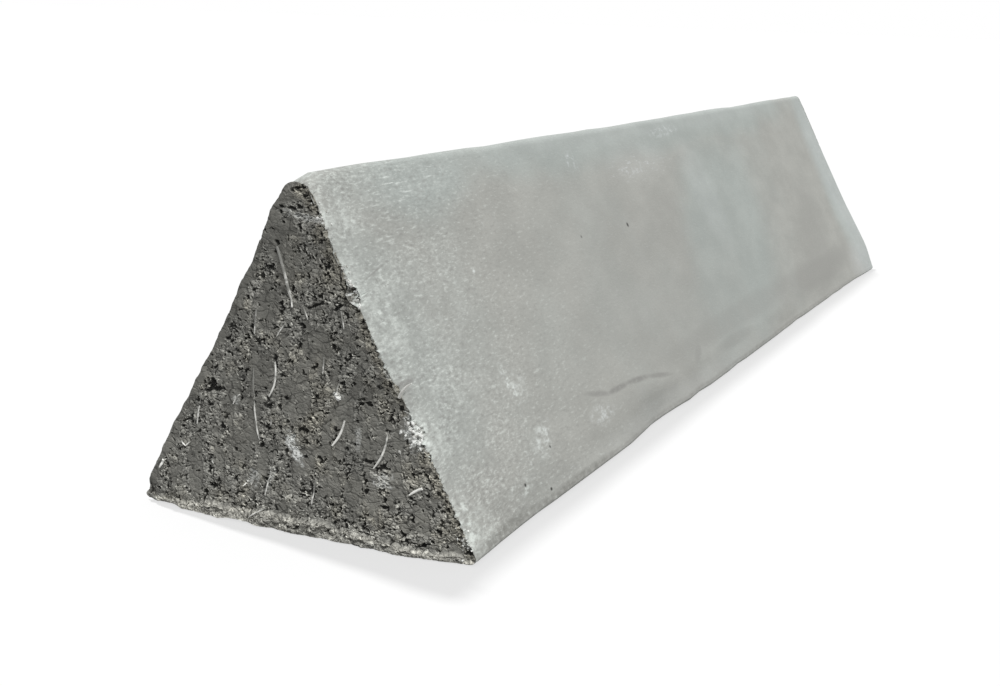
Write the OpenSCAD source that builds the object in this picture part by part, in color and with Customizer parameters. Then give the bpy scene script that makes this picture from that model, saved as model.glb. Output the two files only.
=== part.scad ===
// Concrete spacer bar: a triangular bar of fibre concrete, cast in one piece.
// It lies on its flat base along Y, with the base centred on the origin and the ridge on top.

/* [Bar] */
// Length of the bar, from cut end to cut end
bar_length = 330; // [100:5:1000]
// Height from the base to the top of the ridge, which is the concrete cover the bar gives
cover_height = 60; // [20:1:80]
// Width across the base, over its rounded edges
base_width = 65.5; // [25:0.5:90]

/* [Edges] */
// Radius of the ridge that carries the reinforcement
ridge_radius = 2; // [0.5:0.1:5]
// Radius of the two long edges of the base
base_radius = 2; // [0.5:0.1:5]

/* [Hidden] */
$fn = 64;

// Centre of the ridge's arc, and of the right base edge's arc, in the section
ridge_centre = [0, cover_height - ridge_radius];
base_centre = [base_width / 2 - base_radius, base_radius];

// The flank is the straight line that touches both arcs.
// Its outward normal leans from the line between the centres by the difference of the radii.
flank_run = ridge_centre - base_centre;
flank_normal_angle =
    atan2(flank_run.y, flank_run.x) - acos((base_radius - ridge_radius) / norm(flank_run));
flank_normal = [cos(flank_normal_angle), sin(flank_normal_angle)];

// Where the right flank leaves the base edge's arc and meets the ridge's arc
flank_foot = base_centre + base_radius * flank_normal;
flank_head = ridge_centre + ridge_radius * flank_normal;

function mirrored(point) = [-point.x, point.y];

// Triangular section: straight base and flanks, with a round edge at each corner
module bar_section() {
    sole = [base_centre.x, 0];
    polygon([
        mirrored(sole), sole,
        flank_foot, flank_head,
        mirrored(flank_head), mirrored(flank_foot)
    ]);
    translate(ridge_centre) circle(r = ridge_radius);
    for (centre = [base_centre, mirrored(base_centre)])
        translate(centre) circle(r = base_radius);
}

// The whole bar, cut square at both ends
module spacer_bar() {
    color("darkgray")
        rotate([90, 0, 0])
            linear_extrude(height = bar_length, center = true)
                bar_section();
}

spacer_bar();
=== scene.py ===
"""Dress the concrete spacer bar: cast skin, rough cut ends, worn edges and loose fibres."""

import logging
import math
import random
from collections.abc import Sequence
from dataclasses import dataclass
from enum import Enum

import bpy
import numpy as np
from mathutils import Matrix, Vector, noise


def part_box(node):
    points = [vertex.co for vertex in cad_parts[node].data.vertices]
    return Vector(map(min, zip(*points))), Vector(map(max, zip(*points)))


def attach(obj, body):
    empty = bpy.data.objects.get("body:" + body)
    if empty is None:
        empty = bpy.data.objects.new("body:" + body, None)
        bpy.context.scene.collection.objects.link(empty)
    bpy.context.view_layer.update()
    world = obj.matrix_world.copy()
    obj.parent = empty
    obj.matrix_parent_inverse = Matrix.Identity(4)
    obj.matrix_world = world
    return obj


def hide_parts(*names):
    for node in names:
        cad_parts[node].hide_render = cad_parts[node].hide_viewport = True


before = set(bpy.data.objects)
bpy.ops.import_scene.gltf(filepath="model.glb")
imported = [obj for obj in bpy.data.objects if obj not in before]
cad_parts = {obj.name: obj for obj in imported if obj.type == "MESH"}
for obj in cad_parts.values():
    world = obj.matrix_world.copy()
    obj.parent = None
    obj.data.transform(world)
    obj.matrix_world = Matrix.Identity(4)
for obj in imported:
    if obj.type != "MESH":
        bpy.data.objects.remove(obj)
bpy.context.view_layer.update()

MM = 0.001
NODE = "spacer_bar"
BODY = "root"
DUST = "dust"
FACE_SLACK = 0.01
NOISE_FALL = 1.0
NOISE_STEP = 2.0
CELL_SCATTER = 37.0
PATCH_EDGE = (1.15, 0.55)
BITE_EDGE = (1.1, 0.25)
MARK_EDGE = (1.0, 0.3)
NOISE_RANGE = (0.28, 0.72)
CELL_BEND = 0.6
SOFT_ANGLE = math.radians(35.0)
log = logging.getLogger("spacer_bar")

Colour = tuple[float, float, float, float]
Stops = tuple[tuple[float, float], ...]
Socket = bpy.types.NodeSocket
Feed = Socket | float | Sequence[float]


class Push(Enum):
    """The way in which a painted patch of a surface is pressed."""

    ACROSS = "X"
    ALONG = "Y"
    DOWN = "Z"
    INWARD = "NORMAL"


class End(Enum):
    """The two cut ends, each with the sign of its outward direction along the bar."""

    NEAR = -1
    FAR = 1


class Side(Enum):
    """The two flanks, each with the sign of its outward direction across the bar."""

    LEFT = -1
    RIGHT = 1


class Trace(Enum):
    """The painted values that the concrete's finish reads."""

    CUT = "cut"
    RECESS = "recess"
    LIP = "lip"
    BLOOM = "bloom"
    PLATE = "plate"
    # Painted highlight on the rims of pores and cracks.
    RIM_HIGHLIGHT = "rim"
    FRINGE = "fringe"


def ease(values: np.ndarray, low: float, high: float) -> np.ndarray:
    """Rise smoothly from 0 at low to 1 at high.

    Args:
        values: Numbers to ease.
        low: Value that gives 0.
        high: Value that gives 1, above or below low.

    Returns:
        The eased numbers.
    """
    share = np.clip((values - low) / (high - low), 0.0, 1.0)
    return share * share * (3.0 - 2.0 * share)


def ripple(points: np.ndarray, size: float, octaves: int, shift: float) -> np.ndarray:
    """Fractal noise at each point.

    Args:
        points: Places in millimetres, one row each.
        size: Size of the largest lumps in millimetres.
        octaves: Layers of finer and finer lumps.
        shift: Offset that makes each use different.

    Returns:
        One number for each point, about -1 to 1.
    """
    places = (points / size + shift).tolist()
    return np.array([noise.fractal(place, NOISE_FALL, NOISE_STEP, octaves) for place in places])


def cells(points: np.ndarray, size: float, shift: float) -> tuple[np.ndarray, np.ndarray]:
    """Split a surface into cells.

    Args:
        points: Places in millimetres, one row each.
        size: Size of a cell in millimetres.
        shift: Offset that makes each use different.

    Returns:
        The distance to the nearest border between cells, in millimetres, and a number from -1 to 1
        that is the same all over a cell.
    """
    borders = []
    levels = []
    for place in (points / size + shift).tolist():
        distances, centres = noise.voronoi(place)
        borders.append(math.sqrt(distances[1]) - math.sqrt(distances[0]))
        levels.append(noise.cell(centres[0] * CELL_SCATTER))
    return np.array(borders) * size, np.array(levels)


def take_up(piece: bpy.types.Object) -> None:
    """Make a piece the only one that is selected."""
    bpy.ops.object.select_all(action="DESELECT")
    piece.select_set(True)
    bpy.context.view_layer.objects.active = piece


def join_as(name: str, parts: Sequence[bpy.types.Object]) -> bpy.types.Object:
    """Join parts into one piece.

    Args:
        name: Name of the piece.
        parts: What is joined, the first of which takes in the others.

    Returns:
        The piece, which is then the only one that is selected.
    """
    take_up(parts[0])
    for part in parts:
        part.select_set(True)
    bpy.ops.object.join()
    piece = bpy.context.object
    piece.name = name
    piece.data.name = name
    return piece


def places_of(piece: bpy.types.Object) -> np.ndarray:
    """Places of a piece's vertices in millimetres, one row each."""
    flat = np.empty(len(piece.data.vertices) * 3)
    piece.data.vertices.foreach_get("co", flat)
    return flat.reshape(-1, 3) / MM


def press(piece: bpy.types.Object, weights: np.ndarray, depth: float, push: Push) -> None:
    """Paint a patch on a piece and press it in or pull it out.

    Args:
        piece: The piece to shape.
        weights: Share of the depth for each vertex.
        depth: Depth in millimetres, negative for a press against the direction.
        push: Direction of the press.
    """
    take_up(piece)
    group = piece.vertex_groups.new(name="press")
    for index in np.flatnonzero(weights > 0.0).tolist():
        group.add([index], float(min(weights[index], 1.0)), "REPLACE")
    modifier = piece.modifiers.new("press", "DISPLACE")
    modifier.direction = push.value
    modifier.vertex_group = group.name
    modifier.mid_level = 0.0
    modifier.strength = depth * MM
    bpy.ops.object.modifier_apply(modifier=modifier.name)
    piece.vertex_groups.clear()


def ripple_press(piece: bpy.types.Object, heights: np.ndarray, depth: float, push: Push) -> None:
    """Press a field that goes both ways.

    Args:
        piece: The piece to shape.
        heights: Number from -1 to 1 for each vertex.
        depth: Depth in millimetres for a height of 1.
        push: Direction of the press.
    """
    press(piece, np.clip(heights, 0.0, 1.0), depth, push)
    press(piece, np.clip(-heights, 0.0, 1.0), -depth, push)


def paint(piece: bpy.types.Object, trace: Trace, values: np.ndarray) -> None:
    """Store a painted value for each vertex, which the finish reads."""
    layer = piece.data.attributes.new(trace.value, "FLOAT", "POINT")
    layer.data.foreach_set("value", np.clip(values, 0.0, 1.0))


@dataclass(frozen=True)
class BarSection:
    """The rounded triangle that the bar has all along its length, in millimetres."""

    half_width: float
    height: float
    ridge_radius: float = 2.0
    base_radius: float = 0.8
    arc_cuts: int = 7

    @property
    def base_centre(self) -> Vector:
        """Centre of the right base edge's arc."""
        return Vector((self.half_width - self.base_radius, self.base_radius))

    @property
    def ridge_centre(self) -> Vector:
        """Centre of the ridge's arc."""
        return Vector((0.0, self.height - self.ridge_radius))

    @property
    def flank_normal(self) -> Vector:
        """Outward direction of the right flank."""
        run = self.ridge_centre - self.base_centre
        lean = math.acos((self.base_radius - self.ridge_radius) / run.length)
        angle = math.atan2(run.y, run.x) - lean
        return Vector((math.cos(angle), math.sin(angle)))

    @property
    def flank_offset(self) -> float:
        """Distance from the middle of the base to the right flank."""
        return self.base_centre.dot(self.flank_normal) + self.base_radius

    @property
    def sharp_half_width(self) -> float:
        """Half the width of the base, up to where its edges would be sharp."""
        return self.flank_offset / self.flank_normal.x

    @property
    def sharp_height(self) -> float:
        """Height of the ridge if it were sharp."""
        return self.flank_offset / self.flank_normal.y

    def arc_planes(self) -> list[tuple[Vector, Vector]]:
        """Planes that trim the sharp corners round.

        Returns:
            A point and an outward direction in the section for each plane.
        """
        tilt = math.atan2(self.flank_normal.y, self.flank_normal.x)
        right = self.base_centre
        left = Vector((-right.x, right.y))
        arcs = (
            (right, self.base_radius, -math.pi / 2, tilt),
            (self.ridge_centre, self.ridge_radius, tilt, math.pi - tilt),
            (left, self.base_radius, math.pi - tilt, math.pi * 3 / 2),
        )
        planes = []
        for centre, radius, first, last in arcs:
            for cut in range(1, self.arc_cuts + 1):
                angle = first + (last - first) * cut / (self.arc_cuts + 1)
                outward = Vector((math.cos(angle), math.sin(angle)))
                planes.append((centre + outward * radius, outward))
        return planes

    def inset(self, points: np.ndarray) -> np.ndarray:
        """Distance of each point to the nearest side of the section.

        Args:
            points: Places in millimetres, one row each.

        Returns:
            Distances in millimetres, positive inside.
        """
        normal = self.flank_normal
        flank = self.flank_offset - np.abs(points[:, 0]) * normal.x - points[:, 2] * normal.y
        return np.minimum(flank, points[:, 2])

    def from_flank(self, points: np.ndarray, side: Side) -> np.ndarray:
        """Distance of each point to one flank.

        Args:
            points: Places in millimetres, one row each.
            side: Which flank.

        Returns:
            Distances in millimetres, positive inside.
        """
        outward = np.array((side.value * self.flank_normal.x, 0.0, self.flank_normal.y))
        return self.flank_offset - points @ outward


@dataclass(frozen=True)
class Patch:
    """An oval patch of the near cut face: its place, length, width, turn in degrees and strength."""

    across: float
    height: float
    length: float
    width: float
    turn: float
    strength: float

    def cover(self, points: np.ndarray, ragged: np.ndarray) -> np.ndarray:
        """Strength of the patch at each point.

        Args:
            points: Places in millimetres, one row each.
            ragged: Noise that frays the outline.

        Returns:
            Numbers from 0 outside to the patch's strength in the middle.
        """
        turn = math.radians(self.turn)
        across = points[:, 0] - self.across
        height = points[:, 2] - self.height
        along = (across * math.cos(turn) + height * math.sin(turn)) / (self.length / 2)
        beside = (height * math.cos(turn) - across * math.sin(turn)) / (self.width / 2)
        return ease(np.hypot(along, beside) + ragged, *PATCH_EDGE) * self.strength


@dataclass(frozen=True)
class Chip:
    """A bite out of the near end's edge: its place on the face, reach and depth."""

    across: float
    height: float
    reach: float
    depth: float

    def bite(self, points: np.ndarray, near: float, ragged: np.ndarray) -> np.ndarray:
        """Depth of the bite at each point, in millimetres.

        Args:
            points: Places in millimetres, one row each.
            near: Place of the cut face along the bar.
            ragged: Noise that frays the outline.

        Returns:
            Depths in millimetres.
        """
        apart = points - np.array((self.across, near, self.height))
        distance = np.linalg.norm(apart, axis=1) / self.reach
        return ease(distance + ragged, *BITE_EDGE) * self.depth


def gather(patches: Sequence[Patch], points: np.ndarray, ragged: np.ndarray) -> np.ndarray:
    """Strength of the strongest patch at each point."""
    return np.max([patch.cover(points, ragged) for patch in patches], axis=0)


CAVITIES = (
    Patch(-17.3, 23.5, 2.4, 1.6, 20, 1.0),
    Patch(-16.4, 22.7, 4.0, 0.9, 6, 1.0),
    Patch(-18.3, 22.2, 1.6, 0.8, 10, 0.9),
    Patch(2.9, 7.4, 0.5, 4.2, 14, 0.6),
    Patch(1.0, 17.9, 4.0, 0.8, -2, 0.9),
    Patch(-6.0, 17.2, 1.6, 0.7, -20, 0.9),
    Patch(-3.8, 48.9, 1.3, 0.9, 0, 0.9),
    Patch(13.1, 9.3, 1.7, 1.1, 20, 0.9),
    Patch(16.6, 7.2, 2.0, 0.6, 5, 0.8),
    Patch(-17.1, 5.3, 1.9, 1.0, 0, 1.0),
    Patch(3.6, 39.4, 3.8, 0.6, 25, 0.8),
    Patch(4.5, 13.6, 1.7, 0.8, -30, 0.8),
    Patch(-1.9, 55.6, 1.0, 0.7, 10, 0.8),
    Patch(-0.6, 55.4, 1.4, 0.7, -5, 0.9),
    Patch(0.5, 55.8, 0.8, 0.6, 20, 0.8),
    Patch(-17.6, 10.2, 1.6, 0.9, 10, 0.8),
    Patch(-4.3, 29.0, 0.9, 2.6, 5, 0.7),
    Patch(17.3, 22.6, 0.6, 2.4, -20, 0.8),
    Patch(17.5, 22.2, 0.6, 1.8, 35, 0.8),
    Patch(13.5, 14.5, 2.4, 0.7, 0, 0.7),
    Patch(10.7, 41.8, 3.2, 1.5, -60, 1.0),
    Patch(20.8, 22.4, 1.5, 1.0, -20, 0.9),
    Patch(23.0, 18.8, 1.5, 1.0, -60, 1.0),
)
SMEARS = (
    Patch(-1.3, 52.0, 2.6, 4.0, 0, 1.0),
    Patch(-1.0, 57.6, 3.5, 2.0, 0, 0.8),
    Patch(-6.5, 37.5, 4.5, 8.0, 0, 1.0),
    Patch(-6.2, 27.0, 4.0, 7.5, 0, 1.0),
    Patch(-1.0, 24.5, 3.0, 6.0, 0, 0.8),
    Patch(14.5, 34.0, 4.0, 7.0, 25, 1.0),
    Patch(2.5, 33.0, 3.5, 8.0, 0, 0.9),
    Patch(-12.0, 13.0, 6.0, 6.0, 0, 0.8),
    Patch(12.0, 19.0, 3.0, 8.0, 0, 0.8),
    Patch(6.0, 9.0, 5.0, 6.0, 0, 0.8),
)
BLOOMS = (
    Patch(-1.3, 15.9, 2.2, 3.0, 25, 1.0),
    Patch(-0.4, 14.2, 1.8, 4.6, 25, 1.0),
    Patch(7.5, 24.7, 1.8, 1.5, 0, 1.0),
    Patch(16.0, 11.5, 3.4, 2.8, 10, 0.55),
    Patch(-9.0, 8.0, 2.5, 3.5, -20, 0.45),
    Patch(-5.5, 8.5, 1.2, 5.0, -25, 0.4),
    Patch(-12.2, 21.4, 1.8, 1.4, 30, 0.4),
    Patch(11.5, 18.0, 1.2, 5.0, 0, 0.3),
    Patch(22.0, 20.4, 7.0, 4.5, -60, 1.0),
    Patch(9.9, 44.2, 1.8, 1.0, -60, 1.0),
    Patch(10.5, 42.3, 1.4, 0.5, 30, 1.0),
    Patch(11.6, 40.8, 1.6, 0.8, -60, 0.6),
    Patch(1.5, 54.0, 6.5, 1.4, -12, 0.45),
    Patch(4.6, 54.0, 2.4, 2.0, -60, 0.9),
    Patch(9.0, 48.6, 2.5, 1.2, -60, 0.5),
    Patch(17.0, 29.8, 2.5, 1.0, -60, 0.4),
    Patch(31.3, 3.6, 3.0, 2.0, -60, 0.7),
    Patch(31.9, 5.9, 9.0, 2.6, -60, 0.9),
)
SLANT: Stops = (
    (0.0, 1.0),
    (15.0, 0.9),
    (24.0, 0.5),
    (26.5, 0.2),
    (29.0, -0.45),
    (46.0, -0.5),
    (52.0, -0.9),
    (60.0, -0.2),
)
CHIPS = (
    Chip(2.4, 57.4, 1.6, 0.5),
    Chip(5.0, 53.4, 1.3, 0.4),
    Chip(8.2, 47.6, 1.3, 0.4),
    Chip(10.3, 43.9, 1.8, 0.7),
    Chip(11.2, 41.9, 2.6, 1.3),
    Chip(19.3, 27.4, 1.8, 0.7),
    Chip(22.7, 20.8, 2.2, 0.9),
    Chip(24.4, 17.5, 1.5, 0.6),
    Chip(28.7, 9.8, 1.3, 0.4),
    Chip(-12.8, 36.4, 1.6, 0.3),
    Chip(-18.0, 26.0, 1.4, 0.3),
    Chip(-32.5, 1.0, 4.0, 1.3),
    Chip(-27.0, 0.0, 3.5, 0.7),
    Chip(-11.5, 0.0, 4.5, 0.4),
)


@dataclass(frozen=True)
class Wear:
    """How far each part of the bar is shaped at most, in millimetres."""

    wave: float = 0.3
    base_edge: float = 0.7
    crest: float = 0.35
    tip_drop: float = 0.9
    tip_rise: float = 0.4
    tip_swell: float = 0.8
    left_bulge: float = 0.35
    left_ripple: float = 0.5
    slant: float = 1.2
    foot: float = 0.6
    foot_dent: float = 1.0
    far_flare: float = 1.2
    far_corner: float = 3.5
    chip: float = 1.3
    lip: float = 2.0
    face: float = 0.22
    pore: float = 0.6


@dataclass
class SpacerBar:
    """The bar itself: one closed body of concrete with two cut ends, in millimetres."""

    section: BarSection
    near: float
    far: float
    near_lattice: tuple[int, int] = (19, 18)
    far_lattice: tuple[int, int] = (13, 10)
    near_rings: tuple[float, ...] = (0.2, 0.25, 0.35, 0.5, 0.7, 1.0, 1.5)
    far_rings: tuple[float, ...] = (0.4, 0.5, 0.7, 1.0, 1.5, 2.2, 3.2, 4.5, 6.0)
    body_ring: float = 8.0
    trim_slack: float = 0.001
    weld: float = 0.04
    wear: Wear = Wear()
    piece: bpy.types.Object | None = None

    def build(self) -> bpy.types.Object:
        """Model the bar and give it its relief.

        Returns:
            The finished piece.
        """
        near_half = self.cut_end(End.NEAR, self.near_lattice, self.near_rings)
        rest = self.far - self.near - sum(self.near_rings) - sum(self.far_rings)
        count = round(rest / self.body_ring)
        body_rings = self.far_rings + (rest / count,) * (count - 1)
        far_half = self.cut_end(End.FAR, self.far_lattice, body_rings)
        self.piece = self.close(near_half, far_half)
        self.roughen()
        return self.piece

    def cut_end(self, end: End, lattice: tuple[int, int], rings: Sequence[float]) -> bpy.types.Object:
        """Make one cut face and the skin that runs from it.

        Args:
            end: Which end of the bar.
            lattice: Subdivisions of the face, one after the other.
            rings: Lengths of the rings of skin, from the face on.

        Returns:
            An open half of the bar.
        """
        section = self.section
        place = self.near if end is End.NEAR else self.far
        bpy.ops.object.select_all(action="DESELECT")
        bpy.ops.mesh.primitive_circle_add(
            vertices=3,
            radius=section.sharp_height / 1.5 * MM,
            fill_type="NGON",
            location=(0.0, place * MM, section.sharp_height / 3 * MM),
            rotation=(math.pi / 2, 0.0, 0.0),
        )
        half = bpy.context.object
        equal_half_width = section.sharp_height / math.sqrt(3)
        half.scale.x = section.sharp_half_width / equal_half_width
        bpy.ops.object.transform_apply(location=True, rotation=True, scale=True)
        bpy.ops.object.mode_set(mode="EDIT")
        bpy.ops.mesh.select_all(action="SELECT")
        for parts in lattice:
            bpy.ops.mesh.subdivide(number_cuts=parts - 1)
        for point, outward in section.arc_planes():
            bpy.ops.mesh.select_all(action="SELECT")
            bpy.ops.mesh.bisect(
                plane_co=(point.x * MM, place * MM, point.y * MM),
                plane_no=(outward.x, 0.0, outward.y),
                clear_outer=True,
                threshold=self.trim_slack * MM,
            )
        bpy.ops.mesh.select_all(action="SELECT")
        bpy.ops.mesh.remove_doubles(threshold=self.weld * MM)
        bpy.ops.mesh.select_all(action="SELECT")
        bpy.ops.mesh.region_to_loop()
        for ring in rings:
            bpy.ops.mesh.extrude_edges_move(
                TRANSFORM_OT_translate={"value": (0.0, -end.value * ring * MM, 0.0)}
            )
        bpy.ops.object.mode_set(mode="OBJECT")
        return half

    def close(self, near_half: bpy.types.Object, far_half: bpy.types.Object) -> bpy.types.Object:
        """Join the two halves into one closed body.

        Args:
            near_half: The open half with the near end.
            far_half: The open half with the far end.

        Returns:
            The closed bar.
        """
        whole = join_as("concrete_bar", (near_half, far_half))
        bpy.ops.object.mode_set(mode="EDIT")
        bpy.ops.mesh.select_all(action="DESELECT")
        bpy.ops.mesh.select_mode(type="EDGE")
        bpy.ops.mesh.select_non_manifold(
            extend=False,
            use_wire=False,
            use_boundary=True,
            use_multi_face=False,
            use_non_contiguous=False,
            use_verts=False,
        )
        bpy.ops.mesh.bridge_edge_loops()
        bpy.ops.mesh.select_all(action="SELECT")
        bpy.ops.mesh.quads_convert_to_tris()
        bpy.ops.mesh.normals_make_consistent(inside=False)
        bpy.ops.object.mode_set(mode="OBJECT")
        bpy.ops.object.shade_smooth()
        return whole

    def roughen(self) -> None:
        """Give the skin its waves, the edges their wear and the ends their pores, and paint the traces."""
        start = places_of(self.piece)
        along = start[:, 1]
        near_face = along < self.near + FACE_SLACK
        far_face = along > self.far - FACE_SLACK
        on_end = near_face | far_face
        traces = {trace: np.zeros(len(start)) for trace in Trace}
        self.wave_skin(start, on_end)
        broken = ease(self.chip_edges(start, near_face), 0.3, 0.6)
        traces[Trace.CUT] = np.maximum(np.where(on_end, 1.0, 0.0), broken)
        traces[Trace.LIP] = self.pull_lip(start, near_face)
        for end, on_face in ((End.NEAR, near_face), (End.FAR, far_face)):
            for trace, values in self.open_pores(end, on_face, start, traces[Trace.LIP]).items():
                traces[trace][on_face] = values
        by_end = along < self.near + 3.0
        points = start[by_end]
        bloom = gather(BLOOMS, points, ripple(points, 0.7, 3, 81.0) * 0.6)
        traces[Trace.BLOOM][by_end] = bloom * ease(points[:, 1], self.near + 2.5, self.near)
        for trace, values in traces.items():
            paint(self.piece, trace, values)
        take_up(self.piece)
        bpy.ops.object.shade_smooth_by_angle(angle=SOFT_ANGLE)

    def wave_skin(self, start: np.ndarray, on_end: np.ndarray) -> None:
        """Let the cast sides wave a little, and wear the ridge unevenly.

        Args:
            start: Places of all vertices before any relief.
            on_end: True for the vertices of the two cut faces.
        """
        across, along, height = start.T
        near = self.near
        far = self.far
        piece = self.piece
        wear = self.wear
        lifted = ease(height, 0.2, 3.0) * np.where(on_end, 0.0, 1.0)
        wave = ripple(start, 40.0, 2, 1.0) * 0.7 + ripple(start, 11.0, 2, 2.0) * 0.3
        ripple_press(piece, wave * lifted, wear.wave, Push.INWARD)
        low_edge = ease(np.abs(across), 27.0, 32.0) * ease(height, 8.0, 2.0)
        low_wave = low_edge * np.clip(ripple(start, 16.0, 3, 4.0), 0.0, 1.0)
        ripple_press(piece, low_wave * np.sign(across), -wear.base_edge, Push.ACROSS)
        crest = ease(height, 55.0, 59.0)
        press(piece, crest * np.clip(ripple(start, 22.0, 3, 6.0), 0.0, 1.0), -wear.crest, Push.INWARD)
        ridge = ease(height, 50.0, 59.5)
        press(piece, ridge * ease(along, near + 5.0, near), -wear.tip_drop, Push.DOWN)
        behind_tip = ease(along, near + 1.0, near + 6.0) * ease(along, near + 70.0, near + 20.0)
        press(piece, ridge * behind_tip, wear.tip_rise, Push.DOWN)
        swollen = ease(height, 48.0, 55.0) * ease(along, near + 8.0, near)
        ripple_press(piece, swollen * np.clip(across / 2.0, -1.0, 1.0), wear.tip_swell, Push.ACROSS)
        from_left = self.section.from_flank(start, Side.LEFT)
        by_left = ease(from_left, 6.0, 0.0) * ease(along, near + 18.0, near)
        press(piece, by_left * ease(np.abs(height - 27.0), 9.0, 0.0), wear.left_bulge, Push.ACROSS)
        uneven = ripple(start * np.array((1.0, 0.3, 1.0)), 4.0, 2, 8.0)
        ripple_press(piece, by_left * uneven, wear.left_ripple, Push.ACROSS)
        from_right = self.section.from_flank(start, Side.RIGHT)
        by_right = ease(from_right, 14.0, 0.0) * ease(along, near + 30.0, near)
        slant = np.interp(height, [stop for stop, _ in SLANT], [share for _, share in SLANT])
        ripple_press(piece, by_right * slant, wear.slant, Push.ALONG)
        foot = ease(across, 24.0, 31.0) * ease(height, 8.0, 1.0)
        drawn_in = ease(along, near, near + 20.0) * ease(along, far - 30.0, far - 110.0)
        press(piece, foot * drawn_in, -wear.foot, Push.ACROSS)
        press(piece, foot * ease(np.abs(along - near - 98.0), 24.0, 4.0), -wear.foot_dent, Push.ACROSS)
        flare = ease(across, 18.0, 30.0) * ease(along, far - 40.0, far)
        press(piece, flare, wear.far_flare, Push.ACROSS)
        corner = ease(across, 24.0, 32.5) * ease(along, far - 14.0, far)
        press(piece, corner * ease(height, 10.0, 0.0), -wear.far_corner, Push.ALONG)

    def chip_edges(self, start: np.ndarray, near_face: np.ndarray) -> np.ndarray:
        """Break the edge of the near end.

        Args:
            start: Places of all vertices before any relief.
            near_face: True for the vertices of the near cut face.

        Returns:
            How far each vertex of the skin is broken, from 0 to 1.
        """
        reach = np.where(near_face, self.section.inset(start), start[:, 1] - self.near)
        close_by = reach < 8.0
        points = start[close_by]
        right = (points[:, 0] > 0.0) & (points[:, 2] > 2.0)
        ragged = ripple(points, 1.4, 3, 91.0) * np.where(right, 0.6, 0.1)
        bite = np.max([chip.bite(points, self.near, ragged) for chip in CHIPS], axis=0)
        loose = np.clip(ripple(points, 0.9, 3, 95.0) * 1.5 + 0.25, 0.0, 1.0)
        crumble = ease(reach[close_by], 1.3, 0.0) * loose * np.where(right, 0.7, 0.06)
        deepest = self.wear.chip
        whole = np.zeros(len(start))
        whole[close_by] = np.clip(np.maximum(bite, crumble), 0.0, deepest) / deepest
        press(self.piece, whole, -deepest, Push.INWARD)
        return np.where(near_face, 0.0, whole)

    def lip_top(self, points: np.ndarray) -> np.ndarray:
        """Height of the pale lip along the bottom of the near face, in millimetres."""
        middle = ease(np.abs(points[:, 0] + 2.0), 31.0, 8.0)
        return 1.0 + 1.1 * middle + ripple(points, 5.0, 3, 101.0) * 0.9

    def pull_lip(self, start: np.ndarray, near_face: np.ndarray) -> np.ndarray:
        """Pull out the ragged lip that the cut left along the bottom of the near face.

        Args:
            start: Places of all vertices before any relief.
            near_face: True for the vertices of the near cut face.

        Returns:
            How much of the pale lip each vertex shows, from 0 to 1, with its top strip paler as a painted
            highlight.
        """
        points = start[near_face]
        across, _, height = points.T
        above = height - self.lip_top(points)
        share = ease(above, 0.4, -0.4)
        middle = ease(np.abs(across - 2.0), 32.0, 14.0)
        border, level = cells(points * np.array((0.7, 1.0, 1.0)), 1.0, 117.0)
        fine = 0.3 * ripple(points, 2.0, 4, 111.0) + 0.15 * level - 0.2 * ease(border, 0.2, 0.04)
        lumps = 0.75 + 0.5 * ripple(points, 4.0, 2, 113.0) + fine * ease(height, 0.1, 0.9)
        tallest = 1.4
        whole = np.zeros(len(start))
        whole[near_face] = share * (0.3 + 0.7 * middle) * np.clip(lumps, 0.1, tallest) / tallest
        press(self.piece, whole, -self.wear.lip, Push.ALONG)
        # Painted highlight: the top strip of the lip is made paler, as if light from above caught it.
        line = ease(above, -1.1, -0.5)
        pale = (0.35 + 0.65 * ease(across, 20.0, -15.0)) * (0.5 + 0.5 * line)
        lip = np.zeros(len(start))
        lip[near_face] = share * np.maximum(pale, 0.75 * line)
        return lip

    def open_pores(
        self, end: End, on_face: np.ndarray, start: np.ndarray, lip: np.ndarray
    ) -> dict[Trace, np.ndarray]:
        """Tear the pores, cracks and cavities of one cut face, and leave smeared plates between them.

        Args:
            end: Which end of the bar.
            on_face: True for the vertices of that face.
            start: Places of all vertices before any relief.
            lip: Share of the lip at each vertex.

        Returns:
            For each vertex of the face how deep it lies, how smoothly it is smeared, how much painted
            highlight it takes at the rim of a pore and how near it is to the crumbling right edge, all
            from 0 to 1.
        """
        points = start[on_face]
        from_right = self.section.from_flank(points, Side.RIGHT)
        from_left = self.section.from_flank(points, Side.LEFT)
        fringe = ease(from_right + ripple(points, 2.0, 2, 13.0) * 2.0, 3.0, 0.6)
        band = ease(from_left + ripple(points, 3.0, 2, 15.0) * 0.8, 1.8, 0.8) * 0.9
        warp = np.stack([ripple(points, 1.1, 2, shift) for shift in (3.1, 7.7, 11.3)], axis=1)
        torn = (points + warp * 0.5) * np.array((0.6, 1.0, 1.0))
        border, level = cells(torn, 1.5, 5.0)
        small_border, small_level = cells(torn, 0.8, 9.0)
        frayed = ripple(points, 0.9, 3, 31.0) * 0.5
        plate = ease(ripple(points * np.array((1.0, 1.0, 0.45)), 2.6, 3, 21.0), 0.05, 0.3) * 0.8
        cavity = np.zeros(len(points))
        if end is End.NEAR:
            plate = np.maximum(plate, gather(SMEARS, points, frayed))
            cavity = gather(CAVITIES, points, frayed + ripple(points, 0.5, 3, 33.0) * 0.9)
        plate = np.maximum(plate, band) * (1.0 - lip[on_face]) * (1.0 - fringe)
        torn_open = 1.0 - plate
        gape = ripple(points, 1.3, 2, 41.0) - 0.3 * plate
        small_gape = ripple(points, 0.9, 2, 51.0) - 0.4 * plate
        hollow = ripple(torn, 0.42, 2, 61.0) - 0.1 * fringe
        crack = ease(border - 0.26 * (gape - 0.14), 0.04, -0.03)
        small_crack = ease(small_border - 0.26 * (small_gape - 0.26), 0.04, -0.03)
        pit = ease(hollow, -0.52, -0.62) * torn_open
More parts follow.
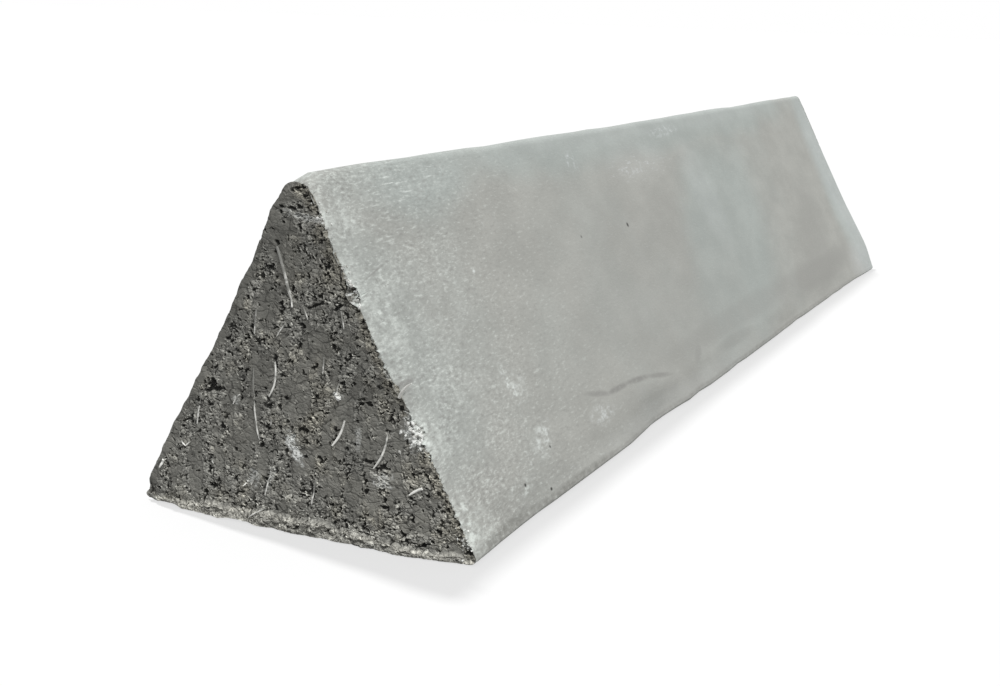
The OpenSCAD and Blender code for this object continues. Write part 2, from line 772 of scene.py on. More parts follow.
        deep = np.max([crack * 0.8, small_crack * 0.65, pit * 0.75, cavity], axis=0)
        deep = deep * (1.0 - 0.35 * lip[on_face]) * (0.2 + 0.8 * ease(points[:, 2], 0.1, 1.2))
        beside = [
            ease(border, 0.34, 0.2) * ease(gape, 0.05, 0.2),
            ease(small_border, 0.28, 0.16) * ease(small_gape, 0.15, 0.3),
            ease(hollow, -0.3, -0.42) * torn_open,
        ]
        sparse = ease(ripple(points, 0.6, 2, 62.0), -0.15, 0.2)
        # Painted highlight on the rims of pores and cracks, where light would catch the broken edges.
        rim = np.max(beside, axis=0) * sparse * ease(deep, 0.3, 0.05)
        grit = ripple(points, 0.5, 3, 66.0) * (0.15 + 0.85 * torn_open)
        swell = ripple(points, 9.0, 3, 71.0)
        whole = np.zeros(len(start))
        whole[on_face] = swell * 0.7 + grit * 0.4 + level * 0.15 + small_level * torn_open * 0.15
        ripple_press(self.piece, whole, self.wear.face, Push.ALONG)
        whole[on_face] = deep
        press(self.piece, whole, -end.value * self.wear.pore, Push.ALONG)
        return {Trace.RECESS: deep / 0.75, Trace.PLATE: plate, Trace.RIM_HIGHLIGHT: rim, Trace.FRINGE: fringe}

    def dress(self, finish: "ConcreteFinish") -> None:
        """Give the bar its finish and its place in the frame."""
        self.piece.data.materials.append(finish.material())
        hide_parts(NODE)
        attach(self.piece, BODY)


@dataclass(frozen=True)
class Lay:
    """How one fibre lies on a face: ends (across, height), bow, lift, dusting, thickness and taper."""

    start: tuple[float, float]
    end: tuple[float, float]
    bow: float = 0.0
    lift: float = 0.0
    dust: float = 0.3
    thickness: float = 1.0
    taper: float = 1.0


LAYS = (
    Lay((-3.9, 48.3), (-1.1, 38.5), -0.2, 0.0, 0.5, 1.9),
    Lay((-8.6, 27.3), (-7.7, 14.9), 0.5, 0.0, 0.5),
    Lay((-4.5, 28.9), (-5.5, 22.9), -0.7, 0.25, -0.05, 1.1, 1.1),
    Lay((-19.7, 21.4), (-20.3, 15.9), -0.1, 0.3, 0.25),
    Lay((-23.8, 12.2), (-22.8, 11.5), 0.0, 0.2, 0.0),
    Lay((-22.0, 12.3), (-22.8, 11.5), 0.0, 0.2, 0.0),
    Lay((-27.7, 8.2), (-28.4, 6.7), 0.0, 0.3, -1.2, 1.7),
    Lay((-10.0, 7.3), (-10.8, 6.3), 0.0, 0.2, -0.1),
    Lay((-7.8, 8.9), (-9.2, 6.8), 0.1, 0.2, 0.3),
    Lay((-11.5, 22.3), (-12.8, 20.5), 0.1, 0.1, 0.1),
    Lay((9.0, 20.8), (7.0, 16.4), -0.3, 0.35, -0.1, 1.2, 1.5),
    Lay((16.7, 20.1), (14.5, 13.6), -0.6, 0.3, 0.0, 1.1, 1.4),
    Lay((23.1, 11.4), (20.9, 10.0), 0.1, 0.5, -1.2, 1.7),
    Lay((3.6, 9.8), (2.6, 4.6), 0.1, 0.1, 0.3),
    Lay((18.8, 26.1), (21.9, 29.2), -0.3, 1.2, -1.4, 2.2, 0.35),
    Lay((8.5, 39.1), (9.1, 36.2), 0.0, 0.1, 0.4),
    Lay((-8.0, 37.3), (-8.4, 33.2), 0.1, 0.1, 0.4),
    Lay((-2.5, 35.5), (-3.8, 33.5), 0.1, 0.2, 0.2),
    Lay((-4.9, 10.5), (-6.4, 5.4), 0.1, 0.2, 0.2),
    Lay((5.0, 31.0), (4.8, 28.2), 0.0, 0.0, 0.4),
    Lay((8.1, 28.0), (7.4, 25.0), 0.1, 0.0, 0.4),
    Lay((-6.4, 3.0), (-9.6, 0.9), 0.1, 0.2, 0.0),
)


@dataclass(frozen=True)
class Stray:
    """The ranges from which a short stray fibre is drawn, in millimetres and radians."""

    foot: float = 3.0
    rise: float = 50.0
    margin: float = 1.5
    length: tuple[float, float] = (0.8, 3.0)
    lean: float = 0.45
    bow: float = 0.12
    lift: float = 0.2
    dust: tuple[float, float] = (0.35, 0.8)

    def pick(self, draw: random.Random, section: BarSection) -> Lay:
        """Draw a short fibre somewhere on a face.

        Args:
            draw: Seeded random draws.
            section: Outline of the face.

        Returns:
            How the fibre lies.
        """
        height = self.rise * (1.0 - math.sqrt(draw.random())) + self.foot
        half = section.half_width * (1.0 - height / section.height) - self.margin
        across = draw.uniform(-half, half)
        length = draw.uniform(*self.length)
        lean = draw.gauss(0.0, self.lean)
        end = (across + length * math.sin(lean), height - length * math.cos(lean))
        bow = draw.gauss(0.0, self.bow)
        lift = draw.uniform(0.0, self.lift)
        return Lay((across, height), end, bow, lift, draw.uniform(*self.dust))


@dataclass
class Fibres:
    """The chopped fibres that the cut laid bare, in millimetres."""

    bar: SpacerBar
    radius: float = 0.15
    joint_run: float = 1.3
    fewest_spans: int = 3
    roundness: int = 1
    smoothness: int = 4
    buried: float = 0.65
    tip: float = 0.55
    probe: float = 10.0
    deepest: float = 3.0
    stray: Stray = Stray()
    spare: int = 3
    seed: int = 9
    piece: bpy.types.Object | None = None

    def build(self) -> bpy.types.Object:
        """Lay every fibre and join them.

        Returns:
            The finished piece.
        """
        draw = random.Random(self.seed)
        laid = [self.lay(End.NEAR, lay) for lay in LAYS]
        for end, count in ((End.NEAR, self.spare), (End.FAR, self.spare + len(LAYS))):
            laid.extend(self.lay(end, self.stray.pick(draw, self.bar.section)) for _ in range(count))
        self.piece = join_as("fibres", laid)
        bpy.ops.object.shade_smooth()
        return self.piece

    def lay(self, end: End, lay: Lay) -> bpy.types.Object:
        """Lay one fibre on a face.

        Args:
            end: Which end of the bar.
            lay: How the fibre lies.

        Returns:
            The fibre as a closed mesh.
        """
        bpy.ops.object.select_all(action="DESELECT")
        bpy.ops.curve.primitive_bezier_curve_add(radius=MM)
        curve = bpy.context.object
        bpy.ops.object.mode_set(mode="EDIT")
        bpy.ops.curve.select_all(action="SELECT")
        first = Vector(lay.start)
        run = Vector(lay.end) - first
        spans = max(self.fewest_spans, round(run.length / self.joint_run))
        bpy.ops.curve.subdivide(number_cuts=spans - 1)
        bpy.ops.curve.handle_type_set(type="AUTOMATIC")
        bpy.ops.object.mode_set(mode="OBJECT")
        beside = Vector((run.y, -run.x)).normalized()
        for index, point in enumerate(curve.data.splines[0].bezier_points):
            share = index / spans
            flat = first + run * share + beside * lay.bow * 4.0 * share * (1.0 - share)
            rise = lay.lift * share * share + self.radius * (0.5 - 0.5 * max(lay.dust, 0.0))
            point.co = Vector((flat.x, self.surface(end, flat) + end.value * rise, flat.y)) * MM
            point.radius = (1.0 + (lay.taper - 1.0) * share) * (self.tip if index == spans else 1.0)
        curve.data.bevel_depth = self.radius * lay.thickness * MM
        curve.data.bevel_resolution = self.roundness
        curve.data.resolution_u = self.smoothness
        curve.data.use_fill_caps = True
        bpy.ops.object.transform_apply(location=True, rotation=True, scale=True)
        bpy.ops.object.convert(target="MESH")
        fibre = bpy.context.object
        share = (places_of(fibre)[:, (0, 2)] - np.array(first)) @ np.array(run) / run.length_squared
        layer = fibre.data.attributes.new(DUST, "FLOAT", "POINT")
        layer.data.foreach_set("value", lay.dust + self.buried * ease(share, 0.9, 0.1))
        return fibre

    def surface(self, end: End, flat: Vector) -> float:
        """Where the cut face lies along the bar at one place.

        Args:
            end: Which end of the bar.
            flat: Place on the face, across and height.

        Returns:
            Place along the bar in millimetres.
        """
        face = self.bar.near if end is End.NEAR else self.bar.far
        origin = Vector((flat.x, face + self.probe * end.value, flat.y)) * MM
        hit, place, _, _ = self.bar.piece.ray_cast(origin, Vector((0.0, -end.value, 0.0)))
        return place.y / MM if hit and abs(place.y / MM - face) < self.deepest else face

    def dress(self, finish: "FibreFinish") -> None:
        """Give the fibres their finish and let them ride on the bar."""
        self.piece.data.materials.clear()
        self.piece.data.materials.append(finish.material())
        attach(self.piece, BODY)


@dataclass(frozen=True)
class Cluster:
    """Loose crumbs on the near end: middle (across, height), reach, number and size in millimetres."""

    across: float
    height: float
    reach: float
    count: int
    size: float


CLUSTERS = (
    Cluster(10.2, 43.4, 1.0, 8, 0.38),
    Cluster(11.5, 41.0, 0.9, 8, 0.32),
    Cluster(9.9, 45.8, 1.4, 6, 0.25),
    Cluster(22.2, 20.3, 2.4, 40, 0.34),
    Cluster(3.6, 53.8, 2.0, 14, 0.25),
    Cluster(31.0, 4.6, 2.6, 16, 0.22),
    Cluster(7.5, 24.7, 0.4, 5, 0.45),
)


@dataclass
class Crumbs:
    """The loose crumbs that stick where the near edge broke, in millimetres."""

    bar: SpacerBar
    sunk: float = 0.2
    size_range: tuple[float, float] = (0.45, 1.2)
    shape_range: tuple[float, float] = (0.5, 1.3)
    knobbly: float = 0.5
    seed: int = 11
    most_seeds: int = 1000
    piece: bpy.types.Object | None = None

    def build(self) -> bpy.types.Object:
        """Place every crumb and join them.

        Returns:
            The finished piece.
        """
        draw = random.Random(self.seed)
        placed = [self.place(draw, cluster) for cluster in CLUSTERS for _ in range(cluster.count)]
        self.piece = join_as("crumbs", placed)
        bpy.ops.object.transform_apply(location=True, rotation=True, scale=True)
        bpy.ops.object.shade_flat()
        return self.piece

    @property
    def outside(self) -> Vector:
        """Direction out of the bar, between the near face and the right flank."""
        flank = self.bar.section.flank_normal
        return Vector((flank.x, End.NEAR.value, flank.y))

    def place(self, draw: random.Random, cluster: Cluster) -> bpy.types.Object:
        """Stick one crumb on the bar.

        Args:
            draw: Seeded random draws.
            cluster: The cluster that the crumb belongs to.

        Returns:
            The crumb as a closed mesh.
        """
        aim = Vector((cluster.across, self.bar.near, cluster.height))
        aim += Vector([draw.gauss(0.0, cluster.reach / 2) for _ in range(3)])
        _, spot, _, _ = self.bar.piece.closest_point_on_mesh(aim * MM)
        away = aim * MM - spot
        outward = away.normalized() * math.copysign(1.0, away.dot(self.outside))
        size = cluster.size * draw.uniform(*self.size_range)
        bpy.ops.object.select_all(action="DESELECT")
        bpy.ops.mesh.primitive_ico_sphere_add(
            subdivisions=1,
            radius=size * MM,
            location=spot + outward * size * self.sunk * MM,
            rotation=[draw.uniform(0.0, math.pi) for _ in range(3)],
            scale=[draw.uniform(*self.shape_range) for _ in range(3)],
        )
        crumb = bpy.context.object
        bpy.ops.object.mode_set(mode="EDIT")
        bpy.ops.mesh.select_all(action="SELECT")
        bpy.ops.transform.vertex_random(
            offset=size * self.knobbly * MM,
            seed=draw.randrange(self.most_seeds),
        )
        bpy.ops.object.mode_set(mode="OBJECT")
        return crumb

    def dress(self, finish: "CrumbFinish") -> None:
        """Give the crumbs their finish and let them ride on the bar."""
        self.piece.data.materials.clear()
        self.piece.data.materials.append(finish.material())
        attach(self.piece, BODY)


class NodeBench:
    """Adds and links the nodes of one finish."""

    def __init__(self, owner: bpy.types.Material | bpy.types.World) -> None:
        """Clear the owner's nodes and start afresh."""
        owner.use_nodes = True
        self.tree = owner.node_tree
        self.tree.nodes.clear()

    def add(self, kind: str, **inputs: Feed) -> bpy.types.Node:
        """Add a node and set or link its inputs.

        Args:
            kind: Blender's name of the node type.
            **inputs: A value or an output socket for each input, by name with _ for spaces.

        Returns:
            The new node.
        """
        node = self.tree.nodes.new(kind)
        for name, value in inputs.items():
            self.feed(node.inputs[name.replace("_", " ")], value)
        return node

    def feed(self, socket: Socket, value: Feed) -> None:
        """Link an output to an input socket, or set the socket's own value."""
        if isinstance(value, Socket):
            self.tree.links.new(value, socket)
        elif socket.type == "VECTOR":
            socket.default_value = value[:3]
        else:
            socket.default_value = value

    def math(self, operation: str, first: Feed, second: Feed = 0.0) -> Socket:
        """Work out a number from one or two others."""
        node = self.tree.nodes.new("ShaderNodeMath")
        node.operation = operation
        self.feed(node.inputs[0], first)
        self.feed(node.inputs[1], second)
        return node.outputs[0]

    def times(self, *factors: Feed) -> Socket:
        """Multiply numbers."""
        product = factors[0]
        for factor in factors[1:]:
            product = self.math("MULTIPLY", product, factor)
        return product

    def spread(
        self, value: Feed, low: float, high: float, to_low: float = 0.0, to_high: float = 1.0
    ) -> Socket:
        """Ease a number from one range to another."""
        node = self.tree.nodes.new("ShaderNodeMapRange")
        node.interpolation_type = "SMOOTHSTEP"
        self.feed(node.inputs["Value"], value)
        node.inputs["From Min"].default_value = low
        node.inputs["From Max"].default_value = high
        node.inputs["To Min"].default_value = to_low
        node.inputs["To Max"].default_value = to_high
        return node.outputs["Result"]

    def sway(self, value: Feed, amount: float, share: Feed = 1.0) -> Socket:
        """Turn a noise into a factor that sways about 1 by an amount."""
        swing = self.spread(value, *NOISE_RANGE, -amount, amount)
        return self.math("ADD", self.times(swing, share), 1.0)

    def ramp(self, value: Feed, stops: Stops) -> Socket:
        """Follow a line of stops.

        Args:
            value: The number to look up, from 0 to 1.
            stops: Pairs of a place from 0 to 1 and the level there, in order.

        Returns:
            The level at the value.
        """
        node = self.add("ShaderNodeValToRGB", Fac=value)
        highest = max(level for _, level in stops)
        elements = node.color_ramp.elements
        while len(elements) < len(stops):
            elements.new(1.0)
        for element, (place, level) in zip(elements, stops):
            element.position = place
            element.color = (level / highest,) * 3 + (1.0,)
        return self.times(node.outputs["Color"], highest)

    def mix(self, share: Feed, first: Feed, second: Feed) -> Socket:
        """Blend two colours."""
        node = self.tree.nodes.new("ShaderNodeMix")
        node.data_type = "VECTOR"
        for name, value in (("Factor_Float", share), ("A_Vector", first), ("B_Vector", second)):
            self.feed(next(s for s in node.inputs if s.identifier == name), value)
        return next(s for s in node.outputs if s.identifier == "Result_Vector")

    def shade(self, colour: Feed, factor: Feed) -> Socket:
        """Make a colour lighter or darker by a number."""
        node = self.tree.nodes.new("ShaderNodeVectorMath")
        node.operation = "SCALE"
        self.feed(node.inputs[0], colour)
        self.feed(node.inputs["Scale"], factor)
        return node.outputs[0]

    def weigh(self, colour: Feed, share: Feed, factor: float) -> Socket:
        """Make a colour lighter or darker by a factor, as far as a share from 0 to 1 says."""
        return self.shade(colour, self.spread(share, 0.0, 1.0, 1.0, factor))

    def vary(self, colour: Feed, value: Feed, amount: float, share: Feed = 1.0) -> Socket:
        """Let a noise make a colour lighter and darker by an amount."""
        return self.shade(colour, self.sway(value, amount, share))

    def stretch(self, vector: Feed, scale: tuple[float, float, float]) -> Socket:
        """Stretch a pattern: a scale under 1 makes it longer along that axis."""
        return self.add("ShaderNodeMapping", Vector=vector, Scale=scale).outputs["Vector"]

    def lumps(
        self, vector: Feed, size: float, detail: float = 3.0, roughness: float = 0.55
    ) -> Socket:
        """Noise with lumps of a size in millimetres."""
        node = self.add(
            "ShaderNodeTexNoise", Vector=vector, Scale=1.0 / (size * MM), Detail=detail, Roughness=roughness
        )
        return node.outputs["Fac"]

    def cells(self, vector: Feed, size: float) -> tuple[Socket, Socket]:
        """Split a surface into cells of a size in millimetres.

        Args:
            vector: Coordinates of the pattern.
            size: Size of a cell in millimetres.

        Returns:
            The distance to a cell's border as a share of the size, and a number of its own for each cell.
        """
        scale = 1.0 / (size * MM)
        bent = self.add("ShaderNodeTexNoise", Vector=vector, Scale=scale, Detail=1.0).outputs["Color"]
        shift = self.tree.nodes.new("ShaderNodeVectorMath")
        shift.operation = "MULTIPLY_ADD"
        self.feed(shift.inputs[0], bent)
        self.feed(shift.inputs[1], (CELL_BEND * size * MM,) * 3)
        self.feed(shift.inputs[2], vector)
        border = self.add("ShaderNodeTexVoronoi", Vector=shift.outputs[0], Scale=scale)
        border.feature = "DISTANCE_TO_EDGE"
        inner = self.add("ShaderNodeTexVoronoi", Vector=shift.outputs[0], Scale=scale)
        tone = self.add("ShaderNodeSeparateColor", Color=inner.outputs["Color"])
        return border.outputs["Distance"], tone.outputs["Red"]

    def place(self) -> Socket:
        """Places on the piece, which every pattern follows."""
        return self.tree.nodes.new("ShaderNodeTexCoord").outputs["Object"]

    def coat(self, **inputs: Feed) -> None:
        """Give the surface a shader with these inputs."""
        shader = self.add("ShaderNodeBsdfPrincipled", **inputs)
        self.add("ShaderNodeOutputMaterial", Surface=shader.outputs["BSDF"])

    def trace(self, name: str) -> Socket:
        """Read a painted value."""
        node = self.tree.nodes.new("ShaderNodeAttribute")
        node.attribute_name = name
        return node.outputs["Fac"]


class MarkKind(Enum):
    """What a mark on a flank is."""

    SCUFF = "scuff"
    STREAK = "streak"
    HAZE = "haze"
    COOL = "cool"
    PINHOLE = "pinhole"
    LINE = "line"
    STAIN_AND_SHADOW = "stain"
    # Painted shade along the base of the flanks.
    BASE_SHADE = "grime"


@dataclass(frozen=True)
class Mark:
    """A mark on a flank: place along the bar, height, length, tallness, strength and turn in degrees."""

    along: float
    height: float
    length: float
    tallness: float
    strength: float
    turn: float = 0.0


MARKS: dict[MarkKind, tuple[Mark, ...]] = {
    MarkKind.SCUFF: (
        Mark(-113.4, 47.5, 1.4, 2.6, 0.9),
        Mark(-124.4, 40.0, 1.8, 1.6, 0.8),
        Mark(-129.5, 21.0, 4.0, 11.0, 0.9, 12),
        Mark(-126.5, 20.0, 9.0, 7.0, 0.5, 30),
        Mark(-126.0, 10.5, 14.0, 6.0, 0.75, 20),
        Mark(-98.0, 8.5, 16.0, 5.0, 0.6),
        Mark(-24.0, 50.0, 32.0, 4.0, 0.4),
        Mark(-60.0, 54.0, 8.0, 7.0, 0.6),
        Mark(8.0, 57.0, 34.0, 4.0, 0.5),
        Mark(-163.5, 42.0, 4.0, 9.0, 1.0),
        Mark(-162.5, 20.0, 6.0, 9.0, 1.0),
        Mark(-162.0, 6.0, 9.0, 14.0, 1.0),
        Mark(-140.5, 5.5, 12.0, 4.5, 0.7),
        Mark(-133.7, 9.0, 1.4, 5.0, 0.9),
        Mark(-161.0, 38.2, 4.0, 7.0, 1.0, 20),
    ),
    MarkKind.STREAK: (
        Mark(-138.0, 57.0, 50.0, 9.0, 1.0),
        Mark(-150.0, 50.0, 24.0, 16.0, 0.6),
        Mark(-20.0, 50.0, 60.0, 9.0, 0.6),
    ),
    # Pinholes are painted as dark spots: painted shade of holes that the mesh does not have.
    MarkKind.PINHOLE: (
        Mark(-162.5, 20.9, 0.9, 0.5, 0.9),
        Mark(-162.3, 20.2, 0.9, 0.6, 0.9),
        Mark(-163.1, 19.6, 0.9, 0.5, 0.8),
        Mark(-43.4, 38.8, 1.6, 1.4, 0.8),
        Mark(-71.5, 39.5, 1.2, 0.9, 0.5),
        Mark(-124.7, 8.8, 0.9, 0.7, 0.7),
        Mark(-138.7, 5.7, 1.0, 0.9, 0.9),
        Mark(-129.8, 2.6, 1.2, 0.8, 0.9),
    ),
    MarkKind.HAZE: (
        Mark(-160.0, 53.0, 20.0, 14.0, 0.7),
        Mark(-158.5, 37.0, 22.0, 16.0, 0.9),
        Mark(-161.0, 20.0, 14.0, 14.0, 0.8),
        Mark(-160.0, 4.0, 18.0, 12.0, 0.8),
        Mark(-142.0, 57.0, 60.0, 10.0, 0.35),
        Mark(-20.0, 52.0, 60.0, 14.0, 0.3),
        Mark(-60.0, 2.5, 220.0, 7.0, 0.3),
        Mark(20.0, 40.0, 26.0, 40.0, 0.4, 10),
        Mark(10.0, 61.0, 420.0, 14.0, 0.4),
        Mark(-148.0, 30.0, 56.0, 46.0, 0.3),
        Mark(162.0, 30.0, 44.0, 90.0, 0.9),
        Mark(156.0, 4.0, 50.0, 24.0, 1.0),
    ),
    MarkKind.LINE: (
        Mark(-157.0, 44.2, 11.0, 0.5, 0.8, 11),
        # Painted shadow of the fibre that stands out over the near edge.
        Mark(-162.1, 27.8, 9.0, 1.4, 1.0, 2),
        Mark(-96.0, 12.0, 17.0, 1.5, 0.8, -11),
        Mark(-86.0, 10.9, 18.0, 1.6, 1.0, -2),
        Mark(-74.5, 10.3, 21.0, 1.6, 1.0, -5),
        Mark(-62.0, 8.7, 20.0, 1.5, 0.8, -9),
    ),
    MarkKind.STAIN_AND_SHADOW: (
        # Painted shadow behind the fibre that stands out over the near edge; the other marks are stains.
        Mark(-163.0, 26.4, 6.0, 4.0, 0.9),
        Mark(-95.3, 54.4, 4.0, 3.0, 0.5),
        Mark(-20.0, 26.0, 200.0, 56.0, 0.3),
        Mark(105.0, 17.0, 70.0, 34.0, 0.6, 31),
        Mark(95.0, 9.0, 120.0, 13.0, 1.0),
        Mark(10.0, 10.5, 200.0, 9.0, 0.7),
        Mark(-34.0, 8.4, 12.0, 4.0, 0.9, 20),
        Mark(-5.0, 6.2, 44.0, 5.0, 0.7),
        Mark(-70.0, 7.0, 50.0, 6.0, 0.3, -6),
    ),
    MarkKind.COOL: (
        Mark(-162.0, 34.0, 50.0, 110.0, 0.2),
        Mark(-130.0, 60.0, 90.0, 26.0, 0.8),
        Mark(0.0, 60.0, 420.0, 24.0, 1.0),
        Mark(24.0, 28.0, 120.0, 70.0, 0.9, 31),
        Mark(165.0, 30.0, 60.0, 110.0, 1.0),
    ),
    # Painted shade along the foot of the flanks, where the rounded base edge turns under.
    MarkKind.BASE_SHADE: (
        Mark(-150.0, 1.5, 40.0, 3.2, 0.8),
        Mark(-118.0, 1.2, 64.0, 2.4, 0.8),
        Mark(0.0, 1.0, 420.0, 2.0, 0.45),
    ),
}
SPECKS: Stops = (
    (0.0, 0.1),
    (0.27, 0.15),
    (0.33, 0.7),
    (0.38, 1.25),
    (0.45, 0.95),
    (0.58, 0.95),
    (0.66, 1.35),
    (0.8, 1.8),
)
# Painted shade in the pores: the deeper a point lies in the cut face, the darker its colour.
HOLLOW_SHADE: Stops = ((0.0, 1.0), (0.25, 1.0), (0.5, 0.6), (0.75, 0.22), (1.0, 0.1))


@dataclass(frozen=True)
class ConcreteFinish:
    """Pale cast skin on the sides and dark porous concrete on the cut ends, with sizes in millimetres."""

    near: float
    far: float
    skin: Colour = (0.375, 0.378, 0.353, 1.0)
    cool_skin: Colour = (0.374, 0.402, 0.382, 1.0)
    chalk: Colour = (0.71, 0.752, 0.71, 1.0)
    far_chalk: Colour = (0.67, 0.7, 0.715, 1.0)
    frost: Colour = (0.88, 0.9, 0.87, 1.0)
    stain: Colour = (0.25, 0.247, 0.235, 1.0)
    # Colour of the painted shade along the base of the flanks.
    grime: Colour = (0.19, 0.19, 0.174, 1.0)
    raw: Colour = (0.25, 0.248, 0.226, 1.0)
    raw_brown: Colour = (0.25, 0.241, 0.205, 1.0)
    smeared: Colour = (0.176, 0.174, 0.157, 1.0)
    lip: Colour = (0.5, 0.49, 0.44, 1.0)
    # Near-black for the painted shade of the pinholes on the flanks.
    pore: Colour = (0.015, 0.015, 0.013, 1.0)
    fade_run: float = 110.0
    rasp_run: float = 60.0
    near_dust: float = 9.0
    far_dust: float = 12.0
    grain_strength: float = 0.6
    grain_depth: float = 0.1
    tear_depth: float = 0.2
    roughness: tuple[float, float] = (0.86, 0.96)
    gloss: float = 0.3

    def material(self) -> bpy.types.Material:
        """Build the finish.

        Returns:
            The material.
        """
        material = bpy.data.materials.new("concrete")
        bench = NodeBench(material)
        where = bench.place()
        cut = bench.trace(Trace.CUT.value)
        skin, skin_height = self.cast_skin(bench, where)
        raw, raw_height = self.raw_face(bench, where)
        colour = bench.mix(cut, skin, raw)
        fluff = bench.spread(bench.lumps(where, 0.45, 3.0, 0.6), 0.34, 0.52)
        white = bench.mix(cut, self.chalk, self.frost)
        colour = bench.mix(bench.times(bench.trace(Trace.BLOOM.value), fluff), colour, white)
        skin_bump = bench.add(
            "ShaderNodeBump",
            Strength=self.grain_strength,
            Distance=self.grain_depth * MM,
            Height=skin_height,
        )
        height = bench.times(cut, raw_height)
        bump = bench.add(
            "ShaderNodeBump",
            Strength=1.0,
            Distance=self.tear_depth * MM,
            Height=height,
            Normal=skin_bump.outputs["Normal"],
        )
        rough = bench.spread(skin_height, 0.2, 0.8, *self.roughness)
        bench.coat(
            Base_Color=colour,
            Roughness=rough,
            Specular_IOR_Level=self.gloss,
            Normal=bump.outputs["Normal"],
        )
        return material

    def cast_skin(
        self, bench: NodeBench, where: Socket
    ) -> tuple[Socket, Socket]:
        """Pale skin with sandy grain, cloudy tints, chalky edges, scuffs and stains.

        Pinholes and a band along the base are painted shade, two marks are a painted shadow of the fibre
        over the near edge, and the underside of the base edges is painted lighter as painted light.

        Args:
            bench: Where the nodes go.
            where: Object coordinates.

        Returns:
            The colour and the height of the grain.
        """
        axes = bench.add("ShaderNodeSeparateXYZ", Vector=where)
        along = axes.outputs["Y"]
        fade = bench.spread(along, self.near * MM, (self.near + self.fade_run) * MM, 1.0, 0.15)
        drawn = bench.stretch(where, (1.0, 0.4, 1.0))
        grain = bench.lumps(drawn, 0.5, 3.0, 0.6)
        mottle = bench.lumps(bench.stretch(where, (1.0, 0.5, 1.0)), 9.0, 4.0, 0.6)
        cloud = bench.lumps(where, 55.0, 3.0)
        side = bench.spread(axes.outputs["X"], -0.1 * MM, 0.1 * MM, -1.0, 1.0)
        marked = bench.spread(side, -1.0, 1.0, 0.6, 1.0)
        unrolled = bench.add("ShaderNodeCombineXYZ", X=bench.times(along, side), Y=axes.outputs["Z"])
        flank = unrolled.outputs[0]

        def cover(kind: MarkKind) -> Socket:
            """Strength of the marks of one kind, which the left flank shows less."""
            return bench.times(self.gather(bench, flank, kind), marked)

        cool = bench.math("ADD", cover(MarkKind.COOL), bench.spread(cloud, 0.3, 0.7, -0.25, 0.35))
        colour = bench.mix(bench.spread(cool, 0.0, 1.0), self.skin, self.cool_skin)
        colour = bench.vary(colour, grain, 0.06, fade)
        colour = bench.vary(colour, mottle, 0.07)
        sand = bench.lumps(bench.stretch(where, (1.0, 0.25, 1.0)), 0.5, 3.0, 0.6)
        colour = bench.mix(bench.times(bench.spread(sand, 0.57, 0.68), fade, 0.42), colour, self.chalk)
        colour = bench.mix(bench.times(bench.spread(sand, 0.43, 0.32), fade, 0.55), colour, self.stain)
        by_edge = bench.spread(along, (self.near + self.rasp_run) * MM, self.near * MM)
        rasped = bench.times(by_edge, bench.spread(mottle, 0.35, 0.65, 0.2, 1.0))
        rasp = bench.lumps(bench.stretch(where, (1.0, 0.4, 1.0)), 0.5, 3.0, 0.65)
        colour = bench.mix(bench.times(bench.spread(rasp, 0.52, 0.66), rasped, 0.55), colour, self.chalk)
        colour = bench.mix(bench.times(bench.spread(rasp, 0.45, 0.34), rasped, 0.75), colour, self.stain)
        near_edge = bench.spread(along, (self.near + self.near_dust) * MM, self.near * MM)
        far_edge = bench.spread(along, (self.far - self.far_dust) * MM, self.far * MM)
        edges = bench.math("MAXIMUM", bench.times(near_edge, 0.6), bench.times(far_edge, 0.4))
        powder = bench.spread(bench.lumps(where, 4.0, 5.0, 0.7), 0.36, 0.66)
        fluff = bench.spread(bench.lumps(drawn, 0.8, 4.0, 0.7), 0.36, 0.66, 0.25, 1.0)
        patchy = bench.add("ShaderNodeMix", Factor=fade, A=0.3, B=bench.times(powder, fluff)).outputs[0]
        haze = bench.times(bench.math("MAXIMUM", edges, cover(MarkKind.HAZE)), patchy)
        feather = bench.lumps(bench.stretch(where, (1.0, 0.5, 0.8)), 1.1, 4.0, 0.7)
        scuff = bench.times(cover(MarkKind.SCUFF), bench.spread(feather, 0.44, 0.68))
        drag = bench.lumps(bench.stretch(where, (1.0, 0.12, 1.0)), 0.6, 4.0, 0.7)
        streak = bench.times(cover(MarkKind.STREAK), bench.spread(drag, 0.54, 0.72))
        pale = bench.math("MAXIMUM", scuff, streak)
        white = bench.mix(fade, self.far_chalk, self.chalk)
        colour = bench.mix(bench.math("MAXIMUM", bench.times(haze, 0.8), pale), colour, white)
        # Stains, one of which is a painted shadow behind the fibre over the near edge.
        stained_and_shadowed = bench.times(cover(MarkKind.STAIN_AND_SHADOW), bench.spread(mottle, 0.2, 0.6, 0.4, 1.0), 0.5)
        colour = bench.mix(stained_and_shadowed, colour, self.stain)
        # Painted shade: a speckled dark band along the base of the flanks.
        base_shaded = bench.times(cover(MarkKind.BASE_SHADE), bench.spread(feather, 0.36, 0.62, 0.3, 0.85))
        colour = bench.mix(base_shaded, colour, self.grime)
        # Painted light: the rounded underside of each base edge faces the floor and lies in shade, so it is
        # made lighter here.
        low = bench.spread(axes.outputs["Z"], 1.5 * MM, 0.4 * MM)
        outer = bench.spread(bench.math("ABSOLUTE", axes.outputs["X"]), 29.0 * MM, 31.0 * MM)
        colour = bench.weigh(colour, bench.times(low, outer), 1.4)
        # Dark lines on the flank, one of which is a painted shadow of the fibre over the near edge.
        wavy = bench.times(cover(MarkKind.LINE), bench.spread(feather, 0.3, 0.55, 0.5, 1.0))
        colour = bench.mix(bench.times(wavy, 0.8), colour, self.stain)
        # Painted shade of the pinholes.
        colour = bench.mix(cover(MarkKind.PINHOLE), colour, self.pore)
        return colour, grain

